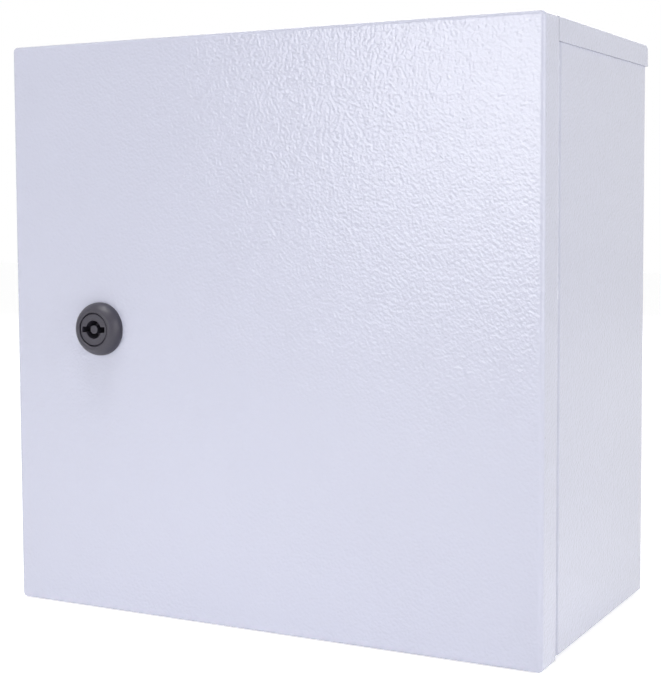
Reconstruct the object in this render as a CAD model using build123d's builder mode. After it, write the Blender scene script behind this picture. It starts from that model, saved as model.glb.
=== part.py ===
from build123d import *
from math import cos, hypot, radians, sin
import os

# Sizes in millimetres. X runs to the right, Y to the rear and Z up.
# The door faces -Y, and the box stands on Z = 0, centred on X and Y.

# Whole box: depth runs from the door's front face to the roof's rear flange.
width = 300.0
height = 300.0
depth = 168.0
sheet = 1.0
bend = 1.3
wall_bend = 2.2
seam = 0.1
overrun = 6.0

# Door: a folded pan that overlaps the whole front and hangs a little below the body.
door_depth = 19.0
door_bend = 1.1
door_corner = 1.4
door_drop = 2.0
door_body_gap = 4.0
door_roof_gap = 0.4

# Foam gasket on the door, and the sealing lip that meets it.
lip_inset = 26.0
gasket_width = 8.0
gasket_height = 7.8
gasket_corner = 1.5
gasket_round = 3.0
gasket_clearance = 0.3

# Roof cap.
roof_flange = 12.0
roof_bend = 0.9
roof_rear_bend = 3.0
roof_end_bevel = 0.6

# Wall holes, each in a pad pressed out to the rear.
wall_hole_inset_x = 22.0
wall_hole_inset_z = 30.0
wall_hole_radius = 4.5
pad_radius = 13.0
pad_taper = 30.0

# Floor pan with its cable opening and the plate that closes it.
floor_flange = 12.0
floor_rear_bend = 2.5
gland_opening_x = 180.0
gland_opening_y = 70.0
gland_corner = 6.0
gland_margin = 14.0
gland_plate_thickness = 1.5
gland_gasket_thickness = 2.0
gland_gasket_margin = 2.0
gland_stud_radius = 2.5
gland_hole_clearance = 0.3
gland_stud_length = 14.0
gland_stud_columns = 3
gland_nut_flats = 8.0
gland_nut_height = 4.0
gland_nut_flange_radius = 5.5
gland_nut_flange_height = 1.2

# Mounting plate on four welded studs.
plate_margin = 30.0
plate_thickness = 2.0
plate_corner = 4.0
plate_stud_inset = 15.0
plate_stud_radius = 3.0
plate_hole_clearance = 0.5
spacer_radius = 6.0
spacer_length = 14.0
plate_washer_radius = 6.5
plate_washer_thickness = 1.6
plate_nut_flats = 10.0
plate_nut_height = 5.0
plate_stud_end = 3.0

# Earth studs: one on the floor pan, one on the door.
earth_stud_radius = 3.0
earth_stud_length = 16.0
earth_washer_radius = 6.0
earth_washer_thickness = 1.6
earth_nut_flats = 10.0
earth_nut_height = 5.0
body_earth_from_rear = 60.0
door_earth_inset = 48.0
door_earth_height = 62.0

# Concealed hinges on the right: the door turns on two pins.
hinge_inset = 5.2
hinge_setback = 8.0
hinge_opening = 120.0
hinge_end = 60.0
pin_radius = 2.0
pin_clearance = 0.05
pin_tail = 1.0
pin_head_radius = 3.2
pin_head_height = 1.6
eye_radius = 3.3
arm_height = 20.0
arm_thickness = 3.0
arm_clearance = 0.6
arm_round = 1.0
arm_slope_run = 6.0
foot_width = 8.0
foot_depth = 5.0
foot_lip_gap = 2.0
arm_screw_radius = 2.0
arm_screw_pitch = 10.0
arm_screw_head_radius = 3.5
arm_screw_head_height = 2.4
arm_screw_socket = 2.5
arm_screw_socket_depth = 1.4
lug_thickness = 3.0
lug_gap = 0.4
lug_reach = 7.0
lug_depth = 4.5
lug_round = 2.0

# Quarter-turn lock at the left, half way up the door.
lock_inset = 56.0
rosette_radius = 14.0
rosette_height = 7.2
rosette_edge = 1.4
rosette_bulge = 0.8
rim_radius = 10.4
rim_round = 0.6
barrel_radius = 11.0
barrel_flats = 20.0
barrel_length = 18.0
cutout_clearance = 0.25
bore_radius = 8.8
bore_step = 3.5
neck_bore_radius = 7.0
seal_inner_radius = 11.6
seal_outer_radius = 13.2
seal_thickness = 0.8
lock_nut_flats = 27.0
lock_nut_height = 6.0
lock_nut_flange_radius = 16.0
lock_nut_flange_height = 1.5
plug_head_clearance = 0.25
plug_neck_clearance = 0.08
plug_recess = 0.5
plug_chamfer = 0.5
plug_float = 0.1
key_hole_radius = 4.8
key_hole_depth = 8.5
key_pin_radius = 2.2
key_pin_recess = 0.6
key_wing_span = 14.2
key_wing_height = 3.0
key_wing_depth = 7.0
drive_square = 8.0
drive_clearance = 0.1
cam_clearance = 1.6
cam_thickness = 2.5
cam_width = 18.0
cam_length = 43.0
cam_hub_radius = 10.0
cam_tip_round = 4.0
cam_washer_radius = 7.0
cam_washer_thickness = 1.2
cam_screw_radius = 3.0
cam_screw_depth = 9.0
cam_screw_flats = 10.0
cam_screw_head = 4.0

# Planes and faces that several pieces share.
front_y = (rosette_height - depth) / 2
rear_y = front_y + depth
floor_z = door_drop
door_inner_y = front_y + sheet
door_edge_y = front_y + door_depth
shoulder_y = door_edge_y + door_body_gap
shoulder_rear_y = shoulder_y + sheet
lip_y = door_inner_y + gasket_height + gasket_clearance
back_y = rear_y - sheet - seam
back_inner_y = back_y - sheet
wall_x = width / 2 - sheet - seam
wall_inner_x = wall_x - sheet
lip_x = width / 2 - lip_inset
lip_top_z = height - lip_inset
fold = bend + sheet / 2
wall_fold = wall_bend + sheet / 2
frame_x = lip_x + bend + sheet
shell_top_z = height - sheet - roof_bend
plug_radius = bore_radius - plug_head_clearance
plug_neck_radius = neck_bore_radius - plug_neck_clearance
hinge_x = width / 2 - hinge_inset
hinge_low_z = hinge_end
hinge_high_z = height - hinge_end
foot_x = lip_x + foot_lip_gap + foot_width / 2
shoulder_plane = Plane((foot_x, shoulder_y, height / 2), x_dir=(1, 0, 0), z_dir=(0, 1, 0))
wall_hole_pitch_x = width - wall_hole_inset_x * 2
wall_hole_pitch_z = height - wall_hole_inset_z * 2


# Side and back shell: one sheet folded into left wall, back and right wall.
# Each front edge turns inward as a shoulder, then forward as the sealing lip.
with BuildPart() as body_shell:
    with BuildSketch(Plane.XY.offset(floor_z)):
        with BuildLine():
            FilletPolyline(
                (sheet / 2 - lip_x, lip_y),
                (sheet / 2 - lip_x, shoulder_y + sheet / 2),
                (sheet / 2 - wall_x, shoulder_y + sheet / 2),
                (sheet / 2 - wall_x, back_y - sheet / 2),
                (wall_x - sheet / 2, back_y - sheet / 2),
                (wall_x - sheet / 2, shoulder_y + sheet / 2),
                (lip_x - sheet / 2, shoulder_y + sheet / 2),
                (lip_x - sheet / 2, lip_y),
                radius=[fold, wall_fold, fold, fold, wall_fold, fold],
            )
        trace(line_width=sheet)
    extrude(amount=shell_top_z - floor_z)
    # The lips stop where the roof's and the floor's lips cross them.
    with BuildSketch():
        with Locations((0, (lip_y + shoulder_rear_y) / 2)):
            Rectangle(frame_x * 2, shoulder_rear_y - lip_y + overrun)
    extrude(amount=lip_inset, mode=Mode.SUBTRACT)
    with BuildSketch(Plane.XY.offset(lip_top_z)):
        with Locations((0, (lip_y + shoulder_rear_y) / 2)):
            Rectangle(frame_x * 2, shoulder_rear_y - lip_y + overrun)
    extrude(amount=lip_inset, mode=Mode.SUBTRACT)
    # The back stops short of the wide rear bend of the roof.
    with BuildSketch(Plane.XY.offset(height - sheet - roof_rear_bend)):
        with Locations((0, back_y)):
            Rectangle(width, roof_rear_bend * 2)
    extrude(amount=roof_rear_bend, mode=Mode.SUBTRACT)
    # Pads pressed out to the wall, hollow on the inside, with a hole in each.
    back_plane = Plane((0, back_y, height / 2), x_dir=(1, 0, 0), z_dir=(0, 1, 0))
    with BuildSketch(back_plane):
        with GridLocations(wall_hole_pitch_x, wall_hole_pitch_z, 2, 2):
            Circle(pad_radius)
    extrude(amount=rear_y - back_y, taper=pad_taper)
    with BuildSketch(back_plane.offset(-sheet)):
        with GridLocations(wall_hole_pitch_x, wall_hole_pitch_z, 2, 2):
            Circle(pad_radius - sheet / 2)
    extrude(amount=rear_y - back_y, taper=pad_taper, mode=Mode.SUBTRACT)
    with BuildSketch(back_plane.offset(-sheet)):
        with GridLocations(wall_hole_pitch_x, wall_hole_pitch_z, 2, 2):
            Circle(wall_hole_radius)
    extrude(amount=overrun, mode=Mode.SUBTRACT)
    # Holes in the right shoulder for the screws of the hinge arms.
    with BuildSketch(shoulder_plane):
        with GridLocations(0, hinge_high_z - hinge_low_z, 1, 2):
            with GridLocations(0, arm_screw_pitch, 1, 2):
                Circle(arm_screw_radius)
    extrude(amount=sheet, mode=Mode.SUBTRACT)

# Roof cap: a shallow lid that laps the walls on the left, right and rear.
# In front it folds down as the upper shoulder and forward as the upper lip.
# The hollow under it carries the inside radii of the folds.
roof_front_y = door_edge_y + door_roof_gap


def round_tray(tray, flat_end, rear_radius, side_radius):
    rear_edge = tray.edges().filter_by(Axis.X).group_by(Axis.Z)[flat_end].sort_by(Axis.Y)[-1]
    fillet(rear_edge, radius=rear_radius)
    side_edges = ShapeList()
    for side in tray.faces().filter_by(Axis.X):
        raw_edges = [side.edges().sort_by(Axis.Z)[-1 - flat_end], side.edges().sort_by(Axis.Y)[0]]
        side_edges += side.edges() - raw_edges
    fillet(side_edges, radius=side_radius)


with BuildPart() as roof_hollow:
    with BuildSketch(Plane.XY.offset(height - roof_flange - overrun)):
        with Locations((0, rear_y - sheet)):
            hollow_y = rear_y - sheet - roof_front_y + overrun
            Rectangle(width - sheet * 2, hollow_y, align=(Align.CENTER, Align.MAX))
    extrude(amount=roof_flange - sheet + overrun)
    round_tray(roof_hollow, -1, roof_rear_bend, roof_bend)

with BuildPart() as roof_cap:
    with BuildSketch(Plane.XY.offset(height - roof_flange)):
        with Locations((0, rear_y)):
            Rectangle(width, rear_y - roof_front_y, align=(Align.CENTER, Align.MAX))
    extrude(amount=roof_flange)
    round_tray(roof_cap, -1, roof_rear_bend + sheet, roof_bend + sheet)
    add(roof_hollow.part, mode=Mode.SUBTRACT)
    # Between the two side flanges the roof sheet stops at the shoulder.
    with BuildSketch(Plane.XY.offset(height - roof_flange)):
        with Locations((0, roof_front_y)):
            Rectangle(width - sheet * 2, (shoulder_y - roof_front_y) * 2)
    extrude(amount=roof_flange, mode=Mode.SUBTRACT)
    # The front end of each side flange is bevelled inside, clear of the door's turning edge.
    flange_ends = roof_cap.edges().filter_by(Axis.Z).group_by(Axis.Y)[0].sort_by(Axis.X)
    chamfer(flange_ends[1:-1], length=roof_end_bevel)
    with BuildSketch(Plane.XY.offset(height - roof_flange)):
        with Locations((0, roof_front_y)):
            Rectangle((frame_x - seam) * 2, (shoulder_y + bend + sheet - roof_front_y) * 2)
    extrude(amount=roof_flange, mode=Mode.SUBTRACT)
    with BuildSketch(Plane.YZ):
        with BuildLine():
            FilletPolyline(
                (shoulder_y + lip_inset, height - sheet / 2),
                (shoulder_y + sheet / 2, height - sheet / 2),
                (shoulder_y + sheet / 2, lip_top_z - sheet / 2),
                (lip_y, lip_top_z - sheet / 2),
                radius=fold,
            )
        trace(line_width=sheet)
    extrude(amount=frame_x - seam, both=True)
    # The lip runs between the side lips.
    with BuildSketch(Plane.XY.offset(lip_top_z - sheet)):
        with Locations((lip_x - sheet - seam, lip_y)):
            Rectangle(lip_inset, shoulder_rear_y - lip_y, align=(Align.MIN, Align.MIN))
        with Locations((sheet + seam - lip_x, lip_y)):
            Rectangle(lip_inset, shoulder_rear_y - lip_y, align=(Align.MAX, Align.MIN))
    extrude(amount=sheet, mode=Mode.SUBTRACT)

# Floor pan: tucked between the walls with its edges turned up inside.
# In front it folds up as the lower shoulder and forward as the lower lip.
floor_x = wall_inner_x - seam
floor_front_y = shoulder_rear_y + wall_bend
floor_rear_y = back_inner_y - seam
with BuildPart() as floor_hollow:
    with BuildSketch(Plane.XY.offset(floor_z + sheet)):
        with Locations((0, floor_rear_y - sheet)):
            hollow_y = floor_rear_y - sheet - floor_front_y + overrun
            Rectangle((floor_x - sheet) * 2, hollow_y, align=(Align.CENTER, Align.MAX))
    extrude(amount=floor_flange + overrun)
    round_tray(floor_hollow, 0, floor_rear_bend, bend)

with BuildPart() as floor_pan:
    with BuildSketch(Plane.XY.offset(floor_z)):
        with Locations((0, floor_rear_y)):
            Rectangle(floor_x * 2, floor_rear_y - floor_front_y, align=(Align.CENTER, Align.MAX))
    extrude(amount=floor_flange)
    round_tray(floor_pan, 0, floor_rear_bend + sheet, bend + sheet)
    add(floor_hollow.part, mode=Mode.SUBTRACT)
    with BuildSketch(Plane.YZ):
        with BuildLine():
            FilletPolyline(
                (shoulder_y + lip_inset, floor_z + sheet / 2),
                (shoulder_y + sheet / 2, floor_z + sheet / 2),
                (shoulder_y + sheet / 2, lip_inset + sheet / 2),
                (lip_y, lip_inset + sheet / 2),
                radius=fold,
            )
        trace(line_width=sheet)
    extrude(amount=frame_x - seam, both=True)
    with BuildSketch(Plane.XY.offset(lip_inset)):
        with Locations((lip_x - sheet - seam, lip_y)):
            Rectangle(lip_inset, shoulder_rear_y - lip_y, align=(Align.MIN, Align.MIN))
        with Locations((sheet + seam - lip_x, lip_y)):
            Rectangle(lip_inset, shoulder_rear_y - lip_y, align=(Align.MAX, Align.MIN))
    extrude(amount=sheet, mode=Mode.SUBTRACT)
    # Cable opening.
    gland_y = (floor_front_y + floor_rear_y) / 2
    with BuildSketch(Plane.XY.offset(floor_z)):
        with Locations((0, gland_y)):
            RectangleRounded(gland_opening_x, gland_opening_y, gland_corner)
    extrude(amount=sheet, mode=Mode.SUBTRACT)

# Gland plate, drawn down on a flat gasket over the opening by six welded studs.
gland_plate_x = gland_opening_x + gland_margin * 2
gland_plate_y = gland_opening_y + gland_margin * 2
gland_pitch_x = (gland_opening_x + gland_margin) / (gland_stud_columns - 1)
gland_pitch_y = gland_opening_y + gland_margin
gland_gasket_z = floor_z + sheet
gland_plate_z = gland_gasket_z + gland_gasket_thickness
gland_nut_z = gland_plate_z + gland_plate_thickness
with BuildPart() as gland_gasket:
    with BuildSketch(Plane.XY.offset(gland_gasket_z)):
        with Locations((0, gland_y)):
            RectangleRounded(gland_plate_x, gland_plate_y, gland_corner)
            gasket_hole_x = gland_opening_x + gland_gasket_margin * 2
            gasket_hole_y = gland_opening_y + gland_gasket_margin * 2
            RectangleRounded(gasket_hole_x, gasket_hole_y, gland_corner, mode=Mode.SUBTRACT)
            with GridLocations(gland_pitch_x, gland_pitch_y, gland_stud_columns, 2):
                Circle(gland_stud_radius + gland_hole_clearance, mode=Mode.SUBTRACT)
    extrude(amount=gland_gasket_thickness)

with BuildPart() as gland_plate:
    with BuildSketch(Plane.XY.offset(gland_plate_z)):
        with Locations((0, gland_y)):
            RectangleRounded(gland_plate_x, gland_plate_y, gland_corner)
            with GridLocations(gland_pitch_x, gland_pitch_y, gland_stud_columns, 2):
                Circle(gland_stud_radius + gland_hole_clearance, mode=Mode.SUBTRACT)
    extrude(amount=gland_plate_thickness)

with BuildPart() as gland_studs:
    with BuildSketch(Plane.XY.offset(gland_gasket_z)):
        with Locations((0, gland_y)):
            with GridLocations(gland_pitch_x, gland_pitch_y, gland_stud_columns, 2):
                Circle(gland_stud_radius)
    extrude(amount=gland_stud_length)

with BuildPart() as gland_nuts:
    with BuildSketch(Plane.XY.offset(gland_nut_z)):
        with Locations((0, gland_y)):
            with GridLocations(gland_pitch_x, gland_pitch_y, gland_stud_columns, 2):
                Circle(gland_nut_flange_radius)
                Circle(gland_stud_radius, mode=Mode.SUBTRACT)
    extrude(amount=gland_nut_flange_height)
    with BuildSketch(Plane.XY.offset(gland_nut_z + gland_nut_flange_height)):
        with Locations((0, gland_y)):
            with GridLocations(gland_pitch_x, gland_pitch_y, gland_stud_columns, 2):
                RegularPolygon(gland_nut_flats / 2, 6, major_radius=False)
                Circle(gland_stud_radius, mode=Mode.SUBTRACT)
    extrude(amount=gland_nut_height)

# Mounting plate: flat galvanised sheet held off the back by spacers on welded studs.
plate_width = width - plate_margin * 2
plate_height = height - plate_margin * 2
plate_pitch_x = plate_width - plate_stud_inset * 2
plate_pitch_z = plate_height - plate_stud_inset * 2
stud_plane = Plane((0, back_inner_y, height / 2), x_dir=(1, 0, 0), z_dir=(0, -1, 0))
plate_plane = stud_plane.offset(spacer_length)
plate_washer_plane = plate_plane.offset(plate_thickness)
plate_nut_plane = plate_washer_plane.offset(plate_washer_thickness)
plate_stud_length = (
    spacer_length + plate_thickness + plate_washer_thickness + plate_nut_height + plate_stud_end
)
with BuildPart() as plate_studs:
    with BuildSketch(stud_plane):
        with GridLocations(plate_pitch_x, plate_pitch_z, 2, 2):
            Circle(plate_stud_radius)
    extrude(amount=plate_stud_length)

with BuildPart() as plate_spacers:
    with BuildSketch(stud_plane):
        with GridLocations(plate_pitch_x, plate_pitch_z, 2, 2):
            Circle(spacer_radius)
            Circle(plate_stud_radius, mode=Mode.SUBTRACT)
    extrude(amount=spacer_length)

with BuildPart() as mounting_plate:
    with BuildSketch(plate_plane):
        RectangleRounded(plate_width, plate_height, plate_corner)
        with GridLocations(plate_pitch_x, plate_pitch_z, 2, 2):
            Circle(plate_stud_radius + plate_hole_clearance, mode=Mode.SUBTRACT)
    extrude(amount=plate_thickness)

with BuildPart() as plate_washers:
    with BuildSketch(plate_washer_plane):
        with GridLocations(plate_pitch_x, plate_pitch_z, 2, 2):
            Circle(plate_washer_radius)
            Circle(plate_stud_radius, mode=Mode.SUBTRACT)
    extrude(amount=plate_washer_thickness)

with BuildPart() as plate_nuts:
    with BuildSketch(plate_nut_plane):
        with GridLocations(plate_pitch_x, plate_pitch_z, 2, 2):
            RegularPolygon(plate_nut_flats / 2, 6, major_radius=False)
            Circle(plate_stud_radius, mode=Mode.SUBTRACT)
    extrude(amount=plate_nut_height)

# Earth stud of the body, welded upright on the floor pan between the gland plate and the left wall.
body_earth_x = -(gland_plate_x / 2 + wall_inner_x) / 2
body_earth_y = rear_y - body_earth_from_rear
body_earth_plane = Plane((body_earth_x, body_earth_y, floor_z + sheet))
with BuildPart() as body_earth_stud:
    with BuildSketch(body_earth_plane):
        Circle(earth_stud_radius)
    extrude(amount=earth_stud_length)

with BuildPart() as body_earth_washer:
    with BuildSketch(body_earth_plane):
        Circle(earth_washer_radius)
        Circle(earth_stud_radius, mode=Mode.SUBTRACT)
    extrude(amount=earth_washer_thickness)

with BuildPart() as body_earth_nut:
    with BuildSketch(body_earth_plane.offset(earth_washer_thickness)):
        RegularPolygon(earth_nut_flats / 2, 6, major_radius=False)
        Circle(earth_stud_radius, mode=Mode.SUBTRACT)
    extrude(amount=earth_nut_height)

# Hinge arms: hooks that reach from the right shoulder round the door's flange to the pin.
# The flange's edge sweeps a circle inside the hook as the door opens.
hinge_y = front_y + hinge_setback
sweep_radius = hypot(hinge_inset, door_depth - hinge_setback)
tail_right = hinge_x - sweep_radius - arm_clearance
tail_left = tail_right - arm_thickness
arm_front_y = door_inner_y + arm_clearance
open_cos = cos(radians(hinge_opening))
open_sin = sin(radians(hinge_opening))
tangent_x = hinge_x + eye_radius * open_cos
tangent_y = hinge_y + eye_radius * open_sin
hook_y = tangent_y + (tangent_x - tail_right) * open_cos / open_sin
foot_y = shoulder_y - foot_depth
with BuildSketch() as arm_outline:
    with BuildLine():
        Polyline(
            (tangent_x, tangent_y),
            (tail_right, hook_y),
            (tail_right, foot_y),
            (foot_x + foot_width / 2, foot_y),
            (foot_x + foot_width / 2, shoulder_y),
            (foot_x - foot_width / 2, shoulder_y),
            (foot_x - foot_width / 2, foot_y),
            (tail_left, foot_y),
            (tail_left, arm_front_y),
            (hinge_x - arm_slope_run, arm_front_y),
            (hinge_x, hinge_y - eye_radius),
            (hinge_x, hinge_y),
            close=True,
        )
    make_face()
    hook_corner = vertices().sort_by_distance((tail_right, hook_y))[0]
    front_corner = vertices().sort_by_distance((tail_left, arm_front_y))[0]
    fillet([hook_corner, front_corner], radius=arm_round)
    with Locations((hinge_x, hinge_y)):
        Circle(eye_radius)
        Circle(pin_radius + pin_clearance, mode=Mode.SUBTRACT)

with BuildPart() as upper_hinge_arm:
    with BuildSketch(Plane.XY.offset(hinge_high_z - arm_height / 2)):
        add(arm_outline.sketch)
    extrude(amount=arm_height)
    with BuildSketch(Plane((foot_x, shoulder_y, hinge_high_z), x_dir=(1, 0, 0), z_dir=(0, -1, 0))):
        with GridLocations(0, arm_screw_pitch, 1, 2):
            Circle(arm_screw_radius)
    extrude(amount=foot_depth, mode=Mode.SUBTRACT)

with BuildPart() as lower_hinge_arm:
    with BuildSketch(Plane.XY.offset(hinge_low_z - arm_height / 2)):
        add(arm_outline.sketch)
    extrude(amount=arm_height)
    with BuildSketch(Plane((foot_x, shoulder_y, hinge_low_z), x_dir=(1, 0, 0), z_dir=(0, -1, 0))):
        with GridLocations(0, arm_screw_pitch, 1, 2):
            Circle(arm_screw_radius)
    extrude(amount=foot_depth, mode=Mode.SUBTRACT)

# Screws that hold the arms, put in from inside the box through the shoulder.
screw_plane = shoulder_plane.offset(sheet)
with BuildPart() as hinge_arm_screws:
    with BuildSketch(screw_plane):
        with GridLocations(0, hinge_high_z - hinge_low_z, 1, 2):
            with GridLocations(0, arm_screw_pitch, 1, 2):
                Circle(arm_screw_radius)
    extrude(amount=-sheet - foot_depth)
    with BuildSketch(screw_plane):
        with GridLocations(0, hinge_high_z - hinge_low_z, 1, 2):
            with GridLocations(0, arm_screw_pitch, 1, 2):
                Circle(arm_screw_head_radius)
    extrude(amount=arm_screw_head_height)
    with BuildSketch(screw_plane.offset(arm_screw_head_height)):
        with GridLocations(0, hinge_high_z - hinge_low_z, 1, 2):
            with GridLocations(0, arm_screw_pitch, 1, 2):
                RegularPolygon(arm_screw_socket / 2, 6, major_radius=False)
    extrude(amount=-arm_screw_socket_depth, mode=Mode.SUBTRACT)

# Door panel: sheet folded back on four sides, with the keyed cut-out for the lock.
lock_x = lock_inset - width / 2
lock_z = height / 2
lock_front = Plane((lock_x, front_y, lock_z), x_dir=(1, 0, 0), z_dir=(0, -1, 0))
door_plane = Plane((0, front_y, height / 2), x_dir=(1, 0, 0), z_dir=(0, 1, 0))
with BuildPart() as door_hollow:
    with BuildSketch(door_plane.offset(sheet)):
        RectangleRounded(width - sheet * 2, height - sheet * 2, door_corner)
    extrude(amount=door_depth)
    fillet(door_hollow.faces().sort_by(Axis.Y)[0].edges(), radius=door_bend)

with BuildPart() as door_panel:
    with BuildSketch(door_plane):
        RectangleRounded(width, height, door_corner + sheet)
    extrude(amount=door_depth)
    fillet(door_panel.faces().sort_by(Axis.Y)[0].edges(), radius=door_bend + sheet)
    add(door_hollow.part, mode=Mode.SUBTRACT)
    with BuildSketch(lock_front):
        Circle(barrel_radius + cutout_clearance)
        Rectangle(barrel_flats + cutout_clearance * 2, barrel_radius * 3, mode=Mode.INTERSECT)
    extrude(amount=-sheet, mode=Mode.SUBTRACT)

# Foam gasket: a bead poured on the inside of the door, opposite the lips.
with BuildPart() as door_gasket:
    bead_x = lip_x * 2 - sheet
    bead_z = lip_top_z - lip_inset - sheet
    with BuildSketch(Plane((0, door_inner_y, height / 2), x_dir=(1, 0, 0), z_dir=(0, 1, 0))):
        RectangleRounded(bead_x + gasket_width, bead_z + gasket_width, gasket_corner + gasket_width)
        RectangleRounded(bead_x - gasket_width, bead_z - gasket_width, gasket_corner, mode=Mode.SUBTRACT)
    extrude(amount=gasket_height)
    fillet(door_gasket.faces().sort_by(Axis.Y)[-1].edges(), radius=gasket_round)

# Door lugs: plates welded into the corner of the door above and below each arm.
lug_right = width / 2 - sheet
lug_left = hinge_x - lug_reach
lug_rear = hinge_y + lug_depth
with BuildSketch() as lug_outline:
    with BuildLine():
        Polyline(
            (lug_left, door_inner_y),
            (lug_right - door_bend, door_inner_y),
            (lug_right, door_inner_y + door_bend),
            (lug_right, lug_rear),
            (lug_left, lug_rear),
            close=True,
        )
    make_face()
    fillet(vertices().sort_by_distance((lug_left, lug_rear))[0], radius=lug_round)
    with Locations((hinge_x, hinge_y)):
        Circle(pin_radius, mode=Mode.SUBTRACT)

lug_lift = arm_height / 2 + lug_gap
with BuildPart() as upper_hinge_top_lug:
    with BuildSketch(Plane.XY.offset(hinge_high_z + lug_lift)):
        add(lug_outline.sketch)
    extrude(amount=lug_thickness)

with BuildPart() as upper_hinge_bottom_lug:
    with BuildSketch(Plane.XY.offset(hinge_high_z - lug_lift)):
        add(lug_outline.sketch)
    extrude(amount=-lug_thickness)

with BuildPart() as lower_hinge_top_lug:
    with BuildSketch(Plane.XY.offset(hinge_low_z + lug_lift)):
        add(lug_outline.sketch)
    extrude(amount=lug_thickness)

with BuildPart() as lower_hinge_bottom_lug:
    with BuildSketch(Plane.XY.offset(hinge_low_z - lug_lift)):
        add(lug_outline.sketch)
    extrude(amount=-lug_thickness)

# Hinge pins: pressed through both lugs, free to turn in the eye of the arm.
pin_rise = lug_lift + lug_thickness
with BuildPart() as upper_hinge_pin:
    with BuildSketch(Plane((hinge_x, hinge_y, hinge_high_z - pin_rise - pin_tail))):
        Circle(pin_radius)
    extrude(amount=pin_rise * 2 + pin_tail)
    with BuildSketch(Plane((hinge_x, hinge_y, hinge_high_z + pin_rise))):
        Circle(pin_head_radius)
    extrude(amount=pin_head_height)

with BuildPart() as lower_hinge_pin:
    with BuildSketch(Plane((hinge_x, hinge_y, hinge_low_z - pin_rise - pin_tail))):
        Circle(pin_radius)
    extrude(amount=pin_rise * 2 + pin_tail)
    with BuildSketch(Plane((hinge_x, hinge_y, hinge_low_z + pin_rise))):
        Circle(pin_head_radius)
    extrude(amount=pin_head_height)

# Earth stud of the door, welded to the inside of the panel.
door_earth_x = door_earth_inset - width / 2
door_earth_plane = Plane(
    (door_earth_x, door_inner_y, door_earth_height), x_dir=(1, 0, 0), z_dir=(0, 1, 0)
)
with BuildPart() as door_earth_stud:
    with BuildSketch(door_earth_plane):
        Circle(earth_stud_radius)
    extrude(amount=earth_stud_length)

with BuildPart() as door_earth_washer:
    with BuildSketch(door_earth_plane):
        Circle(earth_washer_radius)
        Circle(earth_stud_radius, mode=Mode.SUBTRACT)
    extrude(amount=earth_washer_thickness)

with BuildPart() as door_earth_nut:
    with BuildSketch(door_earth_plane.offset(earth_washer_thickness)):
        RegularPolygon(earth_nut_flats / 2, 6, major_radius=False)
        Circle(earth_stud_radius, mode=Mode.SUBTRACT)
    extrude(amount=earth_nut_height)

# Lock housing: domed rosette in front of the door, flattened barrel through it.
# The bore steps in behind the plug's head.
lock_section = Plane((lock_x, front_y, lock_z), x_dir=(1, 0, 0), z_dir=(0, 0, -1))
lock_axis = Axis((lock_x, front_y, lock_z), (0, -1, 0))
with BuildPart() as lock_housing:
    with BuildSketch(lock_section):
        with BuildLine():
            SagittaArc((rim_radius, rosette_height), (rosette_radius, rosette_edge), rosette_bulge)
            Polyline(
                (rosette_radius, rosette_edge),
                (rosette_radius, 0),
                (seal_outer_radius, 0),
                (seal_outer_radius, seal_thickness),
                (seal_inner_radius, seal_thickness),
                (seal_inner_radius, 0),
                (barrel_radius, 0),
                (barrel_radius, -barrel_length),
                (neck_bore_radius, -barrel_length),
                (neck_bore_radius, -bore_step),
                (bore_radius, -bore_step),
                (bore_radius, rosette_height),
                (rim_radius, rosette_height),
            )
        make_face()
        rim_corner = vertices().sort_by_distance((rim_radius, rosette_height))[0]
        bore_corner = vertices().sort_by_distance((bore_radius, rosette_height))[0]
        fillet([rim_corner, bore_corner], radius=rim_round)
    revolve(axis=lock_axis)
    with BuildSketch(lock_front):
        with Locations((barrel_flats / 2, 0)):
            Rectangle(barrel_radius, barrel_radius * 3, align=(Align.MIN, Align.CENTER))
        with Locations((-barrel_flats / 2, 0)):
            Rectangle(barrel_radius, barrel_radius * 3, align=(Align.MAX, Align.CENTER))
    extrude(amount=-barrel_length, mode=Mode.SUBTRACT)

# Flat seal in the groove under the rosette.
with BuildPart() as lock_seal:
    with BuildSketch(lock_front):
        Circle(seal_outer_radius)
        Circle(seal_inner_radius, mode=Mode.SUBTRACT)
    extrude(amount=seal_thickness)

# Flanged nut that draws the housing against the door.
lock_rear = Plane((lock_x, door_inner_y, lock_z), x_dir=(1, 0, 0), z_dir=(0, 1, 0))
with BuildPart() as lock_nut:
    with BuildSketch(lock_rear):
        Circle(lock_nut_flange_radius)
        Circle(barrel_radius, mode=Mode.SUBTRACT)
    extrude(amount=lock_nut_flange_height)
    with BuildSketch(lock_rear.offset(lock_nut_flange_height)):
        RegularPolygon(lock_nut_flats / 2, 6, major_radius=False)
        Circle(barrel_radius, mode=Mode.SUBTRACT)
    extrude(amount=lock_nut_height)

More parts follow.
